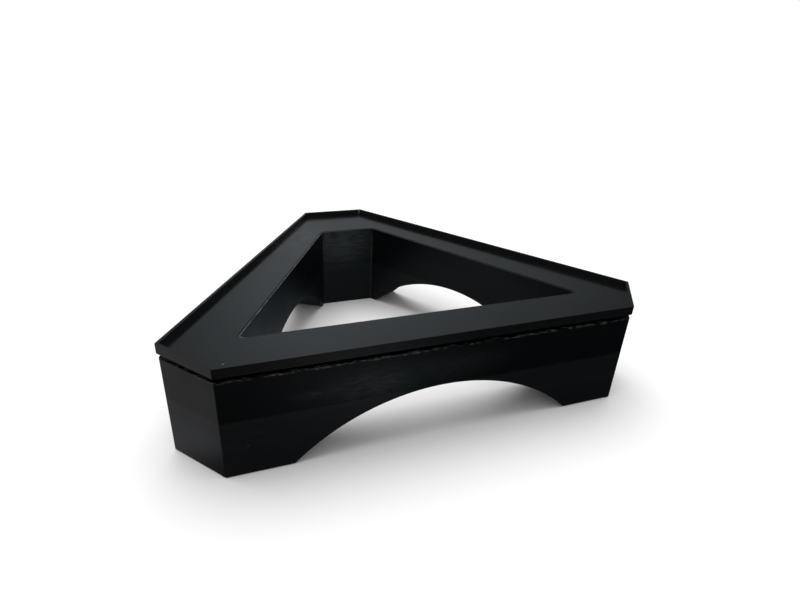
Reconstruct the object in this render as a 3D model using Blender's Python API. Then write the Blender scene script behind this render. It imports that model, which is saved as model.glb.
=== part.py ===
"""Triangle rack: a base that stands on three feet, with an arch through each long side, and a rimmed tray on it.

Metres, +Z up. The origin is on the surface the rack stands on, under the middle of the rack's box. The long
front side faces -Y, and the rack is the same to the left and the right of the Y axis. The tray drops over a
thin collar round the base's opening and lifts straight up off it.
"""

import math

import bmesh
import bpy
from mathutils import Matrix, Vector

# Plan of the tray: a triangle with its three corners cut off
FRONT_SIDE = 0.2100  # length of the front side
CORNER_CUT_X = 0.0207  # a front corner's cut runs this far outwards
CORNER_CUT_Y = 0.0280  # and this far backwards
BACK_SIDE = 0.0422  # length of the cut across the back corner
DEPTH = 0.2010  # front side to back cut
CORNER_RADIUS = 0.0010  # upright edges

# Widths of the rails round the opening, from the tray's outer edge
FRONT_RAIL = 0.0290
SIDE_RAIL_FRONT = 0.0300  # at the front end of a side
SIDE_RAIL_BACK = 0.0210  # at the back end of a side
BACK_RAIL = 0.0380
OPENING_RADIUS = 0.0020  # the opening's upright edges

# Heights
HEIGHT = 0.0570
TRAY_HEIGHT = 0.0050
TRAY_FLOOR = 0.0020  # thickness of the tray's floor
REVEAL = 0.0022  # height of the shadow gap between the tray and the base's shoulder

# Tray
RIM_WIDTH = 0.0015
TRAY_BEVEL = 0.0004  # along the underside's outer edge

# Base
BASE_INSET = 0.0006  # outer faces stand this far inside the tray's
SEAT_SET_BACK = 0.0060  # raised seat under the tray, inside the base's outer faces
COLLAR_WALL = 0.0012
COLLAR_DROP = 0.0002  # collar's top below the tray's floor
FOOT_BEVEL = 0.0005  # along the outer edge that meets the table

# Feet, measured along a side from its corner to where the arch's curve would reach the table
FRONT_FOOT = 0.0304
SIDE_FOOT_FRONT = 0.0320
SIDE_FOOT_BACK = 0.0355
ARCH_RISE = 0.0295
ARCH_STEPS = 48
HEEL_RADIUS = 0.0025  # rounds the edge between an arch and the underside of a foot
HEEL_STEPS = 5

# Fits
SEAT_CLEARANCE = 0.0003
COLLAR_CLEARANCE = 0.0003

# How far a cutter runs past what it cuts
PAST = 0.0060
CORNER_STEPS = 5


def left_of(direction):
    return Vector((-direction.y, direction.x))


def crossing(point_a, along_a, point_b, along_b):
    """Where two lines in the plan cross."""
    return point_a + along_a * ((point_b - point_a).cross(along_b) / along_a.cross(along_b))


def tray_corners():
    """Corners of the tray's outer edge, anticlockwise from the front left."""
    front, wide, back = FRONT_SIDE / 2, FRONT_SIDE / 2 + CORNER_CUT_X, BACK_SIDE / 2
    right = [(front, 0), (wide, CORNER_CUT_Y), (back, DEPTH)]
    left = [(-x, y) for x, y in reversed(right)]
    return [Vector((x, y - DEPTH / 2)) for x, y in left[-1:] + right + left[:-1]]


def opening_corners(outer):
    """Corners of the opening, before they are rounded. The side rails narrow towards the back."""
    side_start, side_end = outer[2], outer[3]
    inwards = left_of(side_end - side_start).normalized()
    wall_start = side_start + inwards * SIDE_RAIL_FRONT
    wall_along = side_end + inwards * SIDE_RAIL_BACK - wall_start
    across = Vector((1, 0))
    front = crossing(wall_start, wall_along, outer[0] + Vector((0, FRONT_RAIL)), across)
    back = crossing(wall_start, wall_along, outer[3] - Vector((0, BACK_RAIL)), across)
    return [Vector((-front.x, front.y)), front, back, Vector((-back.x, back.y))]


def inset(corners, distance):
    """The outline with every side moved inwards, or outwards for a distance below zero."""
    sides = []
    for start, end in zip(corners, corners[1:] + corners[:1]):
        along = (end - start).normalized()
        sides.append((start + left_of(along) * distance, along))
    return [crossing(*sides[index - 1], *sides[index]) for index in range(len(sides))]


def rounded(corners, radius):
    """The outline with an arc in place of each corner."""
    points = []
    for before, corner, after in zip(corners[-1:] + corners[:-1], corners, corners[1:] + corners[:1]):
        along = (corner - before).normalized()
        turn = math.acos(along.dot((after - corner).normalized()))
        start = corner - along * radius * math.tan(turn / 2)
        centre = start + left_of(along) * radius
        for step in range(CORNER_STEPS + 1):
            points.append(centre + Matrix.Rotation(turn * step / CORNER_STEPS, 2) @ (start - centre))
    return points


def add_object(name, mesh_builder, location):
    mesh = bpy.data.meshes.new(name)
    mesh_builder.to_mesh(mesh)
    mesh_builder.free()
    made = bpy.data.objects.new(name, mesh)
    made.location = location
    bpy.context.scene.collection.objects.link(made)
    return made


def prism(name, outline, bottom, top, bevel=0.0):
    """An upright solid on the outline. The bevel runs round its bottom edge."""
    solid = bmesh.new()
    floor = solid.faces.new([solid.verts.new((point.x, point.y, 0)) for point in outline])
    raised = bmesh.ops.extrude_face_region(solid, geom=[floor])["geom"]
    corners = [item for item in raised if isinstance(item, bmesh.types.BMVert)]
    bmesh.ops.translate(solid, verts=corners, vec=(0, 0, top - bottom))
    bmesh.ops.recalc_face_normals(solid, faces=solid.faces)
    if bevel:
        bottom_edges = [edge for edge in solid.edges if not any(vert.co.z for vert in edge.verts)]
        bmesh.ops.bevel(solid, geom=bottom_edges, offset=bevel, segments=1, affect="EDGES")
    return add_object(name, solid, (0, 0, bottom))


def arch_cutter(name, start, end, foot_start, foot_end, depth):
    """A round-topped cutter through the side that runs from start to end, flared at the heels of its two feet."""
    along = (end - start).normalized()
    half_span = ((end - start).length - foot_start - foot_end) / 2
    radius = (half_span**2 + ARCH_RISE**2) / (2 * ARCH_RISE)
    heel_up = HEEL_RADIUS + radius - ARCH_RISE  # height of a heel's centre above the arch's centre
    heel_out = math.sqrt((radius + HEEL_RADIUS) ** 2 - heel_up**2)
    half_angle = math.atan2(heel_out, heel_up)
    heel = []
    for step in range(HEEL_STEPS):
        angle = half_angle * step / HEEL_STEPS
        heel.append((heel_out - HEEL_RADIUS * math.sin(angle), HEEL_RADIUS * (1 - math.cos(angle))))
    profile = [(heel_out, -PAST), (-heel_out, -PAST)] + [(-x, z) for x, z in heel]
    for step in range(ARCH_STEPS + 1):
        angle = half_angle * (2 * step / ARCH_STEPS - 1)
        profile.append((radius * math.sin(angle), radius * math.cos(angle) - radius + ARCH_RISE))
    profile += reversed(heel)
    solid = bmesh.new()
    outside = solid.faces.new([solid.verts.new((x, -PAST, z)) for x, z in profile])
    pushed = bmesh.ops.extrude_face_region(solid, geom=[outside])["geom"]
    corners = [item for item in pushed if isinstance(item, bmesh.types.BMVert)]
    bmesh.ops.translate(solid, verts=corners, vec=(0, depth + 2 * PAST, 0))
    bmesh.ops.recalc_face_normals(solid, faces=solid.faces)
    middle = start + along * (foot_start + half_span)
    cutter = add_object(name, solid, (middle.x, middle.y, 0))
    cutter.rotation_euler.z = math.atan2(along.y, along.x)
    return cutter


def shape(target, helper, operation):
    """Cuts the helper from the target, or joins it on. The helper moves with the target and isn't a piece."""
    helper.hide_render = True
    helper.display_type = "WIRE"
    helper.parent = target
    helper.location -= target.location
    boolean = target.modifiers.new(helper.name, "BOOLEAN")
    boolean.operation = operation
    boolean.solver = "EXACT"
    boolean.object = helper


def plastic(name, colour, roughness):
    material = bpy.data.materials.new(name)
    material.use_nodes = True
    surface = material.node_tree.nodes["Principled BSDF"]
    surface.inputs["Base Color"].default_value = (*colour, 1)
    surface.inputs["Roughness"].default_value = roughness
    surface.inputs["Metallic"].default_value = 0.0
    return material


def make_base(outer, opening, tray_bottom):
    """Body, raised seat and collar as one print, with the opening and the three arches cut through it."""
    faces = inset(outer, BASE_INSET)
    shoulder = tray_bottom - REVEAL
    seat_top = tray_bottom - SEAT_CLEARANCE
    collar_top = tray_bottom + TRAY_FLOOR - COLLAR_DROP
    base = prism("base", rounded(faces, CORNER_RADIUS), 0, shoulder, FOOT_BEVEL)
    base.data.materials.append(plastic("base_plastic", (0.012, 0.013, 0.015), 0.34))
    seat_outline = rounded(inset(faces, SEAT_SET_BACK), CORNER_RADIUS)
    shape(base, prism("base_seat", seat_outline, shoulder - PAST, seat_top), "UNION")
    collar_outline = rounded(inset(opening, -COLLAR_WALL), OPENING_RADIUS + COLLAR_WALL)
    shape(base, prism("base_collar", collar_outline, shoulder - PAST, collar_top), "UNION")
    opening_outline = rounded(opening, OPENING_RADIUS)
    shape(base, prism("base_opening", opening_outline, -PAST, collar_top + PAST), "DIFFERENCE")
    front_depth = FRONT_RAIL - BASE_INSET
    side_depth = max(SIDE_RAIL_FRONT, SIDE_RAIL_BACK) - BASE_INSET
    arches = (
        ("front_arch", faces[0], faces[1], FRONT_FOOT, FRONT_FOOT, front_depth),
        ("right_arch", faces[2], faces[3], SIDE_FOOT_FRONT, SIDE_FOOT_BACK, side_depth),
        ("left_arch", faces[4], faces[5], SIDE_FOOT_BACK, SIDE_FOOT_FRONT, side_depth),
    )
    for arch in arches:
        shape(base, arch_cutter(*arch), "DIFFERENCE")


def make_tray(outer, opening, tray_bottom):
    """A thin plate with a rim round its outer edge and a hole that fits over the collar."""
    floor_top = tray_bottom + TRAY_FLOOR
    top = tray_bottom + TRAY_HEIGHT
    tray = prism("tray", rounded(outer, CORNER_RADIUS), tray_bottom, top, TRAY_BEVEL)
    tray.data.materials.append(plastic("tray_plastic", (0.020, 0.022, 0.024), 0.42))
    shape(tray, prism("tray_recess", inset(outer, RIM_WIDTH), floor_top, top + PAST), "DIFFERENCE")
    hole_wall = COLLAR_WALL + COLLAR_CLEARANCE
    hole = rounded(inset(opening, -hole_wall), OPENING_RADIUS + hole_wall)
    shape(tray, prism("tray_hole", hole, tray_bottom - PAST, top + PAST), "DIFFERENCE")


def main():
    for existing in list(bpy.data.objects):
        bpy.data.objects.remove(existing)
    outer = tray_corners()
    opening = opening_corners(outer)
    tray_bottom = HEIGHT - TRAY_HEIGHT
    make_base(outer, opening, tray_bottom)
    make_tray(outer, opening, tray_bottom)


main()
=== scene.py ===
"""How the triangle rack looks: two black 3D prints, a base on three feet and the rimmed tray on top of it."""

import math

import bmesh
import bpy
from mathutils import Matrix, Vector, geometry


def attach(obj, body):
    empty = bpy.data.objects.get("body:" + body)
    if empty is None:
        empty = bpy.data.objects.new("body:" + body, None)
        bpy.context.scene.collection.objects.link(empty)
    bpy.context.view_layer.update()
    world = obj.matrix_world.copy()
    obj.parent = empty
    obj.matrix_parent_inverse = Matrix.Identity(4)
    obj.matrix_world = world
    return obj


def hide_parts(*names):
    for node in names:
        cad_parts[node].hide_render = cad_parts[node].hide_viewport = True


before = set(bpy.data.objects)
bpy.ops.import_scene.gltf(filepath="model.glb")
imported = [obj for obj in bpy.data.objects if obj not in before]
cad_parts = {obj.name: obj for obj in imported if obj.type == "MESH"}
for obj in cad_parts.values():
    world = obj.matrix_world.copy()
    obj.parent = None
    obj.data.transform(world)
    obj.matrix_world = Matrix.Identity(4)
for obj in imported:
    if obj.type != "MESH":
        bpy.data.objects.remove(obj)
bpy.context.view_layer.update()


# ---------------------------------------------------------------------------------------------------------
# Base. One black print with thick walls, laid down in 0.2 mm layers from its feet up. The nozzle leaves its
# corners slightly round, and the gloss changes where the arches close and one loop becomes the whole wall.
# ---------------------------------------------------------------------------------------------------------
layer = 0.0002  # height of one printed layer
line_width = 0.00042  # width of one printed line
line_relief = 0.00002  # how far the printed lines stand out
arch_crown = 0.0295  # height of the arches' crowns
base_edge = 0.00035  # radius of its edges
front_face = -0.0999  # where its front face stands along Y
back_wall = 0.0625  # and its opening's back wall
# The black below the arches' crowns is paler than the walls above as a painted reflection of the floor
lower_black_with_reflection = (0.0043, 0.0057, 0.0068, 1)
wall_black = (0.0011, 0.0020, 0.0028, 1)
crown_black = (0.0010, 0.0011, 0.0012, 1)
# Pale grey for smears on the front face and for painted light high on the opening's back wall
smear_and_light_grey = (0.027, 0.034, 0.038, 1)
scratch_grey = (0.10, 0.10, 0.10, 1)


def link(made):
    bpy.context.scene.collection.objects.link(made)
    return made


def settle(made):
    """Turns the object's modifiers into plain mesh."""
    graph = bpy.context.evaluated_depsgraph_get()
    finished = made.evaluated_get(graph)
    mesh = bpy.data.meshes.new_from_object(finished, preserve_all_data_layers=True, depsgraph=graph)
    made.modifiers.clear()
    made.data = mesh
    return made


def printed_copy(name, node, edge_radius, change=None):
    """A welded copy of a CAD node with its sharp edges rounded."""
    solid = bmesh.new()
    solid.from_mesh(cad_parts[node].data)
    bmesh.ops.remove_doubles(solid, verts=solid.verts, dist=1e-5)
    bmesh.ops.dissolve_limit(solid, angle_limit=math.radians(0.4), verts=solid.verts, edges=solid.edges)
    if change:
        change(solid)
    mesh = bpy.data.meshes.new(name)
    solid.to_mesh(mesh)
    solid.free()
    made = link(bpy.data.objects.new(name, mesh))
    rounding = made.modifiers.new("rounding", "BEVEL")
    rounding.limit_method = "ANGLE"
    rounding.angle_limit = math.radians(28)
    rounding.width = edge_radius
    rounding.segments = 3
    settle(made)
    made.data.shade_smooth()
    made.data.set_sharp_from_angle(angle=math.radians(40))
    flat_faces = made.modifiers.new("flat faces", "WEIGHTED_NORMAL")
    flat_faces.keep_sharp = True
    return settle(made)


def add(tree, kind, inputs=(), **settings):
    """A node with its settings, and its inputs linked to a socket or set to a value."""
    node = tree.nodes.new(kind)
    for setting, value in settings.items():
        setattr(node, setting, value)
    for socket, value in dict(inputs).items():
        if isinstance(value, bpy.types.NodeSocket):
            tree.links.new(value, node.inputs[socket])
        else:
            node.inputs[socket].default_value = value
    return node


def maths(tree, operation, *values):
    return add(tree, "ShaderNodeMath", enumerate(values), operation=operation).outputs[0]


def ramp(tree, value, low, high, to_low=0.0, to_high=1.0):
    """The value eased from low..high to to_low..to_high."""
    node = add(tree, "ShaderNodeMapRange", {"Value": value}, interpolation_type="SMOOTHSTEP")
    node.inputs["From Min"].default_value, node.inputs["From Max"].default_value = low, high
    node.inputs["To Min"].default_value, node.inputs["To Max"].default_value = to_low, to_high
    return node.outputs[0]


def blend(tree, factor, first, second):
    """The first colour at a factor of 0, and the second at 1."""
    return add(tree, "ShaderNodeMix", {0: factor, 6: first, 7: second}, data_type="RGBA").outputs[2]


def scale_colour(tree, colour, amount):
    return add(tree, "ShaderNodeVectorMath", {0: colour, "Scale": amount}, operation="SCALE").outputs[0]


def noise(tree, place, scale, detail=2.0, stretch=(1, 1, 1)):
    stretched = add(tree, "ShaderNodeVectorMath", {0: place, 1: stretch}, operation="MULTIPLY").outputs[0]
    return add(tree, "ShaderNodeTexNoise", {"Vector": stretched, "Scale": scale, "Detail": detail}).outputs[0]


def new_group(name, inputs, outputs):
    group = bpy.data.node_groups.new(name, "ShaderNodeTree")
    for socket, kind in inputs.items():
        group.interface.new_socket(socket, in_out="INPUT", socket_type=kind)
    for socket, kind in outputs.items():
        group.interface.new_socket(socket, in_out="OUTPUT", socket_type=kind)
    return group, group.nodes.new("NodeGroupInput").outputs, group.nodes.new("NodeGroupOutput").inputs


def print_lines_group():
    """Printed surface: beads one layer high on walls, and rows of lines on faces that look up or down."""
    number, vector = "NodeSocketFloat", "NodeSocketVector"
    group, given, out = new_group(
        "print lines",
        {"Place": vector, "Layer": number, "Line": number, "Wall depth": number, "Face depth": number},
        {"Height": number, "Layer tone": number, "Flat": number},
    )
    place = add(group, "ShaderNodeSeparateXYZ", {0: given["Place"]}).outputs
    facing = add(group, "ShaderNodeNewGeometry").outputs["Normal"]
    upright = maths(group, "ABSOLUTE", add(group, "ShaderNodeSeparateXYZ", {0: facing}).outputs[2])
    flat = ramp(group, upright, 0.80, 0.95)
    rows = maths(group, "DIVIDE", place[2], given["Layer"])
    row = maths(group, "FLOOR", rows)
    off_centre = maths(group, "MULTIPLY_ADD", maths(group, "FRACT", rows), 2.0, -1.0)
    bead = maths(group, "SUBTRACT", 1.0, maths(group, "POWER", maths(group, "ABSOLUTE", off_centre), 3.0))
    tone = add(group, "ShaderNodeTexWhiteNoise", {"W": row}, noise_dimensions="1D").outputs[0]
    # The lines on flat faces run at 45 degrees
    across = maths(group, "ADD", place[0], place[1])
    stripes = maths(group, "DIVIDE", across, maths(group, "MULTIPLY", given["Line"], math.sqrt(2)))
    off_line = maths(group, "MULTIPLY_ADD", maths(group, "FRACT", stripes), 2.0, -1.0)
    stripe = maths(group, "SUBTRACT", 1.0, maths(group, "POWER", maths(group, "ABSOLUTE", off_line), 2.0))
    depths = {
        0: flat,
        2: maths(group, "MULTIPLY", bead, given["Wall depth"]),
        3: maths(group, "MULTIPLY", stripe, given["Face depth"]),
    }
    height = add(group, "ShaderNodeMix", depths, data_type="FLOAT").outputs[0]
    group.links.new(height, out["Height"])
    group.links.new(tone, out["Layer tone"])
    group.links.new(flat, out["Flat"])
    return group


print_lines = print_lines_group()


def soft_patch_group():
    """A soft oval patch, stretched along X, with streaks in it. 1 in its middle and 0 outside it."""
    vector = "NodeSocketVector"
    inputs = {"Place": vector, "Centre": vector, "Reach": vector}
    group, given, out = new_group("soft_patch", inputs, {"Amount": "NodeSocketFloat"})
    away = {0: given["Place"], 1: given["Centre"]}
    away = {0: add(group, "ShaderNodeVectorMath", away, operation="SUBTRACT").outputs[0], 1: given["Reach"]}
    away = {0: add(group, "ShaderNodeVectorMath", away, operation="DIVIDE").outputs[0]}
    length = add(group, "ShaderNodeVectorMath", away, operation="LENGTH").outputs["Value"]
    inside = ramp(group, length, 0.0, 1.0, 1.0, 0.0)
    streaks = ramp(group, noise(group, given["Place"], 160.0, 5.0, (1, 1, 5)), 0.35, 0.70, 0.25, 1.0)
    group.links.new(maths(group, "MULTIPLY", inside, streaks), out["Amount"])
    return group


soft_patch = soft_patch_group()


def black_plastic(name):
    """A Principled material, ready for its own colour and surface."""
    material = bpy.data.materials.new(name)
    material.use_nodes = True
    surface = material.node_tree.nodes["Principled BSDF"]
    surface.inputs["IOR"].default_value = 1.46
    return material, material.node_tree, surface


def emboss(tree, surface, relief, depth, strength=1.0):
    """Raises the surface by the depth where the relief is 1."""
    bump = add(tree, "ShaderNodeBump", {"Height": relief, "Strength": strength, "Distance": depth})
    tree.links.new(bump.outputs[0], surface.inputs["Normal"])


def patches(tree, place, oval_patches):
    """The strongest of several soft patches at each point."""
    whole = 0.0
    for centre, reach, strength in oval_patches:
        oval = {"Place": place, "Centre": centre, "Reach": reach}
        amount = add(tree, "ShaderNodeGroup", oval, node_tree=soft_patch).outputs["Amount"]
        whole = maths(tree, "MAXIMUM", whole, maths(tree, "MULTIPLY", amount, strength))
    return whole


def base_material():
    material, tree, surface = black_plastic("base_print")
    place = add(tree, "ShaderNodeTexCoord").outputs["Object"]
    height = add(tree, "ShaderNodeSeparateXYZ", {0: place}).outputs[2]
    sizes = {"Place": place, "Layer": layer, "Line": line_width, "Wall depth": 0.30, "Face depth": 0.5}
    lines = add(tree, "ShaderNodeGroup", sizes, node_tree=print_lines).outputs
    # Below the crowns the nozzle hops between three feet, so each layer cools for longer and comes out
    # glossier;
    # the paler black there is a painted reflection of the floor
    above = ramp(tree, height, arch_crown - layer, arch_crown + layer)
    from_crown = maths(tree, "ABSOLUTE", maths(tree, "SUBTRACT", height, arch_crown + layer))
    crown_line = ramp(tree, from_crown, 0.0, 3 * layer, 1.0, 0.0)
    # Pale smears on the front face, partly real scuffs and partly a painted reflection of the floor; the large
    # patch high on the opening's back wall is painted light
    smears_and_painted_light = patches(
        tree,
        place,
        (
            ((-0.036, front_face, 0.0370), (0.034, 0.005, 0.0130), 0.85),
            ((-0.060, front_face, 0.0365), (0.020, 0.004, 0.0035), 0.6),
            ((0.000, front_face, 0.0400), (0.050, 0.004, 0.0100), 0.35),
            ((-0.006, back_wall, 0.0450), (0.034, 0.004, 0.0240), 3.2),
        ),
    )
    scratches = patches(
        tree,
        place,
        (
            ((-0.0938, front_face, 0.0158), (0.0007, 0.001, 0.0007), 1.0),
            ((-0.0890, front_face, 0.0218), (0.0060, 0.001, 0.0004), 0.12),
            ((-0.0700, front_face, 0.0262), (0.0080, 0.001, 0.0003), 0.10),
        ),
    )
    # The arches' undersides were printed over air, so their lines sag and hardly shine; their colour is also
    # darkened there as painted shade
    facing = add(tree, "ShaderNodeNewGeometry").outputs["Normal"]
    upwards = add(tree, "ShaderNodeSeparateXYZ", {0: facing}).outputs[2]
    shine_and_painted_shade = ramp(tree, upwards, -0.5, -0.1, 0.2, 1.0)
    colour = blend(tree, above, lower_black_with_reflection, wall_black)
    colour = scale_colour(tree, colour, maths(tree, "MULTIPLY_ADD", lines["Layer tone"], 0.5, 0.75))
    colour = blend(tree, maths(tree, "MULTIPLY", smears_and_painted_light, 0.6), colour, smear_and_light_grey)
    colour = blend(tree, scratches, colour, scratch_grey)
    colour = blend(tree, maths(tree, "MULTIPLY", crown_line, 0.6), colour, crown_black)
    tree.links.new(scale_colour(tree, colour, shine_and_painted_shade), surface.inputs["Base Color"])
    rough = ramp(tree, noise(tree, place, 28.0, 3.0, (1, 1, 2)), 0.3, 0.7, 0.30, 0.38)
    rough = maths(tree, "MULTIPLY_ADD", smears_and_painted_light, 0.15, rough)
    rough = maths(tree, "MULTIPLY_ADD", above, 0.04, rough)
    rough = maths(tree, "MULTIPLY_ADD", maths(tree, "SUBTRACT", 1.0, shine_and_painted_shade), 0.5, rough)
    tree.links.new(rough, surface.inputs["Roughness"])
    waves = noise(tree, place, 90.0, 2.0, (1, 1, 4))
    relief = maths(tree, "MULTIPLY_ADD", waves, 0.8, lines["Height"])
    relief = maths(tree, "MULTIPLY_ADD", crown_line, -0.8, relief)
    emboss(tree, surface, relief, line_relief)
    return material


base_print = printed_copy("base_print", "base", base_edge)
base_print.data.materials.clear()
base_print.data.materials.append(base_material())
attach(base_print, "base")
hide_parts("base")


# ---------------------------------------------------------------------------------------------------------
# Frayed edge. The last layer of the base's shoulder hangs over its outer edge as a thin uneven bead, with a
# loose string on it, both coloured pale as a painted highlight. Both lie along the foot of the shadow gap.
# ---------------------------------------------------------------------------------------------------------
shoulder = 0.0498  # height of the step outside the base's raised seat
frayed_bead = {"Step": 0.0013, "Radius": 0.00052, "Spread": 0.00022, "Wander": 0.00026, "Patchiness": 0.45}
loose_string = {"Step": 0.0017, "Radius": 0.00022, "Spread": 0.00006, "Wander": 0.00060, "Patchiness": 0.0}


def plan_outline(node, height):
    """The outermost points of a CAD node at one height, in order round it."""
    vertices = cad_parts[node].data.vertices
    points = {(round(v.co.x, 6), round(v.co.y, 6)) for v in vertices if abs(v.co.z - height) < 1e-5}
    points = [Vector(point) for point in sorted(points)]
    return [points[index] for index in geometry.convex_hull_2d(points)]


def wire(name, points, closed):
    """A bare line of edges through the points, for a node tree to follow."""
    mesh = bpy.data.meshes.new(name)
    edges = [(index, index + 1) for index in range(len(points) - 1)]
    if closed:
        edges.append((len(points) - 1, 0))
    mesh.from_pydata(points, edges, [])
    return link(bpy.data.objects.new(name, mesh))


def bead_tree():
    """An uneven bead of plastic along a line. Patchiness thins it over stretches of a few millimetres."""
    tree = bpy.data.node_groups.new("bead of plastic", "GeometryNodeTree")
    tree.interface.new_socket("Line", in_out="INPUT", socket_type="NodeSocketGeometry")
    for socket in ("Step", "Radius", "Spread", "Wander", "Patchiness"):
        tree.interface.new_socket(socket, in_out="INPUT", socket_type="NodeSocketFloat")
    tree.interface.new_socket("Seed", in_out="INPUT", socket_type="NodeSocketInt")
    tree.interface.new_socket("Plastic", in_out="INPUT", socket_type="NodeSocketMaterial")
    tree.interface.new_socket("Bead", in_out="OUTPUT", socket_type="NodeSocketGeometry")
    given = tree.nodes.new("NodeGroupInput").outputs
    curve = add(tree, "GeometryNodeMeshToCurve", {0: given["Line"]}).outputs[0]
    steps = {"Curve": curve, "Length": given["Step"]}
    curve = add(tree, "GeometryNodeResampleCurve", steps, mode="LENGTH").outputs[0]
    stray = add(tree, "FunctionNodeRandomValue", {"Seed": given["Seed"]}, data_type="FLOAT_VECTOR")
    stray.inputs[0].default_value, stray.inputs[1].default_value = (-1, -1, -1), (1, 1, 1)
    aside = {0: stray.outputs[0], "Scale": given["Wander"]}
    offset = add(tree, "ShaderNodeVectorMath", aside, operation="SCALE").outputs[0]
    moved = add(tree, "GeometryNodeSetPosition", {"Geometry": curve, "Offset": offset}).outputs[0]
    random = add(tree, "FunctionNodeRandomValue", {"Seed": given["Seed"]}, data_type="FLOAT")
    random.inputs[2].default_value, random.inputs[3].default_value = -1.0, 1.0
    radius = maths(tree, "MULTIPLY_ADD", random.outputs[1], given["Spread"], given["Radius"])
    stretches = add(tree, "ShaderNodeTexNoise", {"Scale": 130.0, "Detail": 2.0}).outputs[0]
    thinned = maths(tree, "MULTIPLY", ramp(tree, stretches, 0.40, 0.56, 1.0, 0.0), given["Patchiness"])
    radius = maths(tree, "MULTIPLY", radius, maths(tree, "SUBTRACT", 1.0, thinned))
    section = add(tree, "GeometryNodeCurvePrimitiveCircle", {"Resolution": 6, "Radius": 1.0}).outputs[0]
    sweep = {"Curve": moved, "Profile Curve": section, "Scale": radius, "Fill Caps": True}
    swept = add(tree, "GeometryNodeCurveToMesh", sweep).outputs[0]
    smooth = add(tree, "GeometryNodeSetShadeSmooth", {0: swept}).outputs[0]
    whole = add(tree, "GeometryNodeRealizeInstances", {0: smooth}).outputs[0]
    painted = add(tree, "GeometryNodeSetMaterial", {0: whole, "Material": given["Plastic"]}).outputs[0]
    tree.links.new(painted, tree.nodes.new("NodeGroupOutput").inputs[0])
    return tree


bead_of_plastic = bead_tree()


def lay_bead(line, plastic, sizes, seed):
    """Runs the bead tree along the line and leaves a plain mesh."""
    modifier = line.modifiers.new("bead", "NODES")
    modifier.node_group = bead_of_plastic
    values = {**sizes, "Seed": seed, "Plastic": plastic}
    for socket in bead_of_plastic.interface.items_tree:
        if socket.name in values:
            modifier[socket.identifier] = values[socket.name]
    return settle(line)


def painted_highlight_plastic(name, dark, pale):
    """The same plastic in thin strings and blobs, made paler as a painted highlight, and duller."""
    material, tree, surface = black_plastic(name)
    place = add(tree, "ShaderNodeTexCoord").outputs["Object"]
    # Random patches of the paler painted-highlight colour
    stretch = ramp(tree, noise(tree, place, 220.0, 3.0), 0.38, 0.62)
    cool_dark = (dark, dark * 1.05, dark * 1.1, 1)
    cool_pale = (pale, pale * 1.02, pale * 1.05, 1)
    tree.links.new(blend(tree, stretch, cool_dark, cool_pale), surface.inputs["Base Color"])
    tree.links.new(ramp(tree, stretch, 0.0, 1.0, 0.36, 0.55), surface.inputs["Roughness"])
    emboss(tree, surface, noise(tree, place, 900.0, 2.0), 3 * line_relief, 0.6)
    return material


highlight_pale_plastic = painted_highlight_plastic("painted_highlight_plastic", 0.010, 0.042)
for name, sizes, inwards, drop, seed in (
    ("base_frayed_edge", frayed_bead, 0.0030, 0.0003, 4),
    ("base_loose_string", loose_string, 0.0060, 0.0001, 5),
):
    edge = [(*(point * (1 - inwards)), shoulder - drop) for point in plan_outline("base", shoulder)]
    frayed = wire(name, edge, closed=True)
    lay_bead(frayed, highlight_pale_plastic, sizes, seed)
    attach(frayed, "base")


# ---------------------------------------------------------------------------------------------------------
# Tray. A second print that drops over the base's collar: a 2 mm plate with a rim round it. Its floor was
# printed last, so it is smoother and glossier than the walls, with fine slanting lines side by side.
# ---------------------------------------------------------------------------------------------------------
tray_floor = 0.0540  # height of its floor
tray_edge = 0.00015  # radius of its edges
snugness = 0.00022  # the real tray's hole fits this much closer round the collar than the CAD's
floor_black, floor_mottle = (0.0034, 0.0037, 0.0042, 1), (0.0044, 0.0047, 0.0052, 1)
# The rim's inward black is paler than its outward black as painted light
rim_black, rim_inside_painted_light = (0.0036, 0.0040, 0.0044, 1), (0.0110, 0.0118, 0.0125, 1)
pale_patch_grey = (0.034, 0.037, 0.037, 1)
speck_grey = (0.20, 0.20, 0.20, 1)


def close_round_collar(solid):
    """Moves the walls of the tray's hole in towards the collar."""
    bottom = min(vert.co.z for vert in solid.verts)
    moves = {}
    for face in solid.faces:
        upright = abs(face.normal.z) < 0.01
        faces_middle = face.normal.dot(face.calc_center_median()) < 0
        from_bottom = min(vert.co.z for vert in face.verts) < bottom + 1e-5
        if upright and faces_middle and from_bottom:
            for vert in face.verts:
                moves[vert] = moves.get(vert, Vector()) + face.normal
    for vert, move in moves.items():
        vert.co += move.normalized() * snugness


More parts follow.
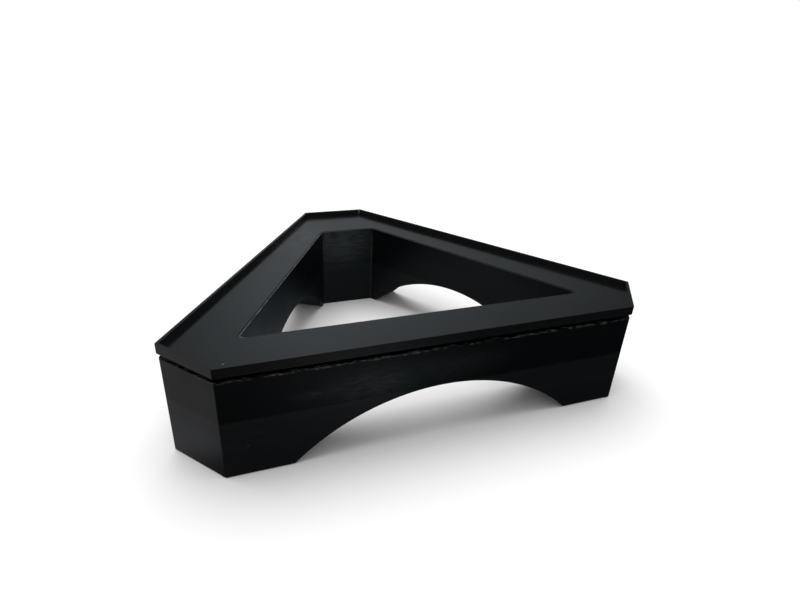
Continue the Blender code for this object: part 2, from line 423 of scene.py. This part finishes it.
def tray_material():
    material, tree, surface = black_plastic("tray_print")
    place = add(tree, "ShaderNodeTexCoord").outputs["Object"]
    sizes = {"Place": place, "Layer": layer, "Line": line_width, "Wall depth": 0.30, "Face depth": 0.08}
    lines = add(tree, "ShaderNodeGroup", sizes, node_tree=print_lines).outputs
    mottle = noise(tree, place, 35.0, 3.0)
    speck = patches(tree, place, (((-0.0999, -0.0923, tray_floor), (0.0007, 0.0007, 0.001), 1.0),))
    # A paler patch over the back of the tray's left flange
    pale_patch = patches(tree, place, (((-0.0360, 0.0640, tray_floor), (0.034, 0.060, 0.004), 0.5),))
    facing = add(tree, "ShaderNodeNewGeometry").outputs["Normal"]
    outwards = add(tree, "ShaderNodeVectorMath", {0: facing, 1: place}, operation="DOT_PRODUCT")
    # The rim's inward faces get a paler black than its outward faces: painted light on the side facing into
    # the tray
    wall = blend(tree, ramp(tree, outwards.outputs["Value"], -0.01, 0.01), rim_inside_painted_light, rim_black)
    colour = blend(tree, ramp(tree, mottle, 0.35, 0.65), floor_black, floor_mottle)
    colour = blend(tree, lines["Flat"], wall, colour)
    colour = blend(tree, pale_patch, colour, pale_patch_grey)
    colour = blend(tree, speck, colour, speck_grey)
    tree.links.new(colour, surface.inputs["Base Color"])
    tree.links.new(ramp(tree, mottle, 0.3, 0.7, 0.17, 0.22), surface.inputs["Roughness"])
    relief = maths(tree, "MULTIPLY_ADD", noise(tree, place, 60.0, 2.0), 0.8, lines["Height"])
    emboss(tree, surface, relief, line_relief)
    return material


tray_print = printed_copy("tray_print", "tray", tray_edge, close_round_collar)
tray_print.data.materials.clear()
tray_print.data.materials.append(tray_material())
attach(tray_print, "tray")
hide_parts("tray")


# ---------------------------------------------------------------------------------------------------------
# Seams. Each loop of a print starts and ends at one corner and leaves a small blob there. The blobs stack up
# in a line: one up the opening's back right corner, one up the rim's. Their pale colour is a painted
# highlight.
# ---------------------------------------------------------------------------------------------------------
highlight_thin_plastic = painted_highlight_plastic("highlight_thin_plastic", 0.045, 0.105)


def upright_line(corner, bottom, rise, steps):
    return [(*corner, bottom + rise * step / steps) for step in range(steps + 1)]


seam_bead = {"Step": 0.0004, "Radius": 0.00024, "Spread": 0.00007, "Wander": 0.00004, "Patchiness": 0.0}
opening_corner = (0.01780, 0.0622)  # the opening's back right corner
base_seam = wire("base_seam", upright_line(opening_corner, 0.0004, 0.0532, 120), closed=False)
lay_bead(base_seam, highlight_pale_plastic, seam_bead, 9)
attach(base_seam, "base")

rim_bead = {"Step": 0.0004, "Radius": 0.00090, "Spread": 0.00015, "Wander": 0.00005, "Patchiness": 0.0}
rim_corner = (0.0196, 0.0988)  # the rim's back right corner, inside
tray_seam = wire("tray_seam", upright_line(rim_corner, tray_floor + 0.0001, 0.0026, 8), closed=False)
lay_bead(tray_seam, highlight_thin_plastic, rim_bead, 2)
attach(tray_seam, "tray")


# ---------------------------------------------------------------------------------------------------------
# Collar string. The nozzle left a thin string along the top of the collar's left side, coloured pale as a
# painted highlight, and it hooks a little way round the front left corner.
# ---------------------------------------------------------------------------------------------------------
string_bead = {"Step": 0.0007, "Radius": 0.00030, "Spread": 0.00008, "Wander": 0.00005, "Patchiness": 0.3}
string_height = 0.0539
string_steps = 100
hook = [Vector((-0.0885, -0.0723)), Vector((-0.0899, -0.0718))]
collar_front, collar_back = Vector((-0.0905, -0.0700)), Vector((-0.01840, 0.0626))
along_side = [collar_front.lerp(collar_back, step / string_steps) for step in range(string_steps + 1)]
string_line = [(*point, string_height) for point in hook + along_side]
collar_string = wire("base_collar_string", string_line, closed=False)
lay_bead(collar_string, highlight_thin_plastic, string_bead, 6)
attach(collar_string, "base")


# ---------------------------------------------------------------------------------------------------------
# Studio: a plain pale floor, a pale room with a window behind, a darker side in front, and a soft light
# overhead.
# ---------------------------------------------------------------------------------------------------------
def studio_floor():
    mesh = bpy.data.meshes.new("floor")
    reach = 6.0
    corners = [(x * reach, y * reach, 0) for x, y in ((-1, -1), (1, -1), (1, 1), (-1, 1))]
    mesh.from_pydata(corners, [], [(0, 1, 2, 3)])
    floor = link(bpy.data.objects.new("floor", mesh))
    material = bpy.data.materials.new("pale_floor")
    material.use_nodes = True
    tree = material.node_tree
    tree.nodes.clear()
    paper = add(tree, "ShaderNodeBsdfDiffuse", {"Color": (0.93, 0.93, 0.93, 1)}).outputs[0]
    where = add(tree, "ShaderNodeTexCoord").outputs["Object"]
    place = add(tree, "ShaderNodeSeparateXYZ", {0: where}).outputs
    # In the rack's gloss the paper is dim under the rack, and brighter to its left and just in front of it
    across = ramp(tree, place[0], -0.055, 0.005, 0.31, 0.165)
    front_edge = ramp(tree, place[1], -0.105, -0.065, 0.08)
    back_edge = ramp(tree, place[1], -0.03, 0.06, 1.0, 0.5)
    under = maths(tree, "MULTIPLY", across, maths(tree, "MINIMUM", front_edge, back_edge))
    past_left_foot = ramp(tree, place[0], -0.130, -0.108, 0.31, 0.0)
    left = maths(tree, "MULTIPLY", past_left_foot, ramp(tree, place[1], -0.115, -0.090))
    spot = add(tree, "ShaderNodeVectorMath", {0: where, 1: (-0.015, -0.175, 0)}, operation="DISTANCE")
    front = ramp(tree, spot.outputs["Value"], 0.0, 0.085, 0.20, 0.0)
    shade = maths(tree, "ADD", maths(tree, "MAXIMUM", under, left), front)
    cool = blend(tree, ramp(tree, place[0], -0.05, 0.01), (1.0, 1.0, 1.04, 1), (0.80, 1.03, 1.15, 1))
    in_gloss = add(tree, "ShaderNodeEmission", {"Color": cool, "Strength": shade}).outputs[0]
    gloss = add(tree, "ShaderNodeLightPath").outputs["Is Glossy Ray"]
    mixed = add(tree, "ShaderNodeMixShader", {0: gloss, 1: paper, 2: in_gloss}).outputs[0]
    add(tree, "ShaderNodeOutputMaterial", {"Surface": mixed})
    mesh.materials.append(material)


def studio_room():
    world = bpy.data.worlds.new("room")
    bpy.context.scene.world = world
    world.use_nodes = True
    world.cycles.sampling_method = "NONE"
    tree = world.node_tree
    tree.nodes.clear()
    towards = add(tree, "ShaderNodeTexCoord").outputs["Generated"]
    way = add(tree, "ShaderNodeSeparateXYZ", {0: towards}).outputs
    # In the gloss: a window behind and a little to the right, sharp on its left and fading slowly to its right
    sideways = maths(tree, "MULTIPLY_ADD", way[1], -0.225, maths(tree, "MULTIPLY", way[0], 0.974))
    right = ramp(tree, sideways, -0.05, 0.60, 1.0, 0.0)
    left = ramp(tree, sideways, -0.28, 0.0, 0.3, 1.0)
    window = maths(tree, "MULTIPLY", maths(tree, "MINIMUM", left, right), ramp(tree, way[1], 0.0, 0.4))
    low_sill = ramp(tree, way[2], 0.24, 0.42, 0.46, 1.14)
    sill = maths(tree, "MAXIMUM", low_sill, ramp(tree, sideways, 0.15, 0.45, 0.0, 1.45))
    above = ramp(tree, way[2], 0.55, 0.95, 0.10, 0.40)
    seen_in_gloss = maths(tree, "MULTIPLY_ADD", maths(tree, "MULTIPLY", window, sill), 0.37, above)
    path = add(tree, "ShaderNodeLightPath").outputs
    soft = {0: path["Is Camera Ray"], 2: 0.54, 3: 1.0}
    soft = add(tree, "ShaderNodeMix", soft, data_type="FLOAT").outputs[0]
    room = {0: path["Is Glossy Ray"], 2: soft, 3: seen_in_gloss}
    room = add(tree, "ShaderNodeMix", room, data_type="FLOAT").outputs[0]
    tint = blend(tree, path["Is Glossy Ray"], (1, 1, 1, 1), (0.89, 0.99, 1.04, 1))
    background = add(tree, "ShaderNodeBackground", {"Color": tint, "Strength": room}).outputs[0]
    add(tree, "ShaderNodeOutputWorld", {"Surface": background})


def overhead_light():
    """A wide soft light high up and slightly behind the rack."""
    light = bpy.data.lights.new("overhead", "SUN")
    light.energy = 2.2
    light.angle = math.radians(64)
    made = link(bpy.data.objects.new("overhead", light))
    made.rotation_euler = (math.radians(-15), 0, 0)
    made.visible_glossy = False


studio_floor()
studio_room()
overhead_light()

# The camera looks down on the front left corner
camera_place = Vector((-0.1088, -0.2978, 0.1765))
camera_down, camera_turn, camera_roll = math.radians(28.36), math.radians(22.05), math.radians(2.68)
camera = bpy.data.cameras.new("camera")
camera.lens = 25.12
camera.sensor_width = 36.0
camera.shift_x, camera.shift_y = 0.0093, 0.0420
camera.clip_start = 0.01
viewer = link(bpy.data.objects.new("camera", camera))
turned = Matrix.Rotation(-camera_turn, 4, "Z") @ Matrix.Rotation(math.pi / 2 - camera_down, 4, "X")
viewer.matrix_world = Matrix.Translation(camera_place) @ turned @ Matrix.Rotation(camera_roll, 4, "Z")
bpy.context.scene.camera = viewer
bpy.context.scene.view_settings.view_transform = "Standard"
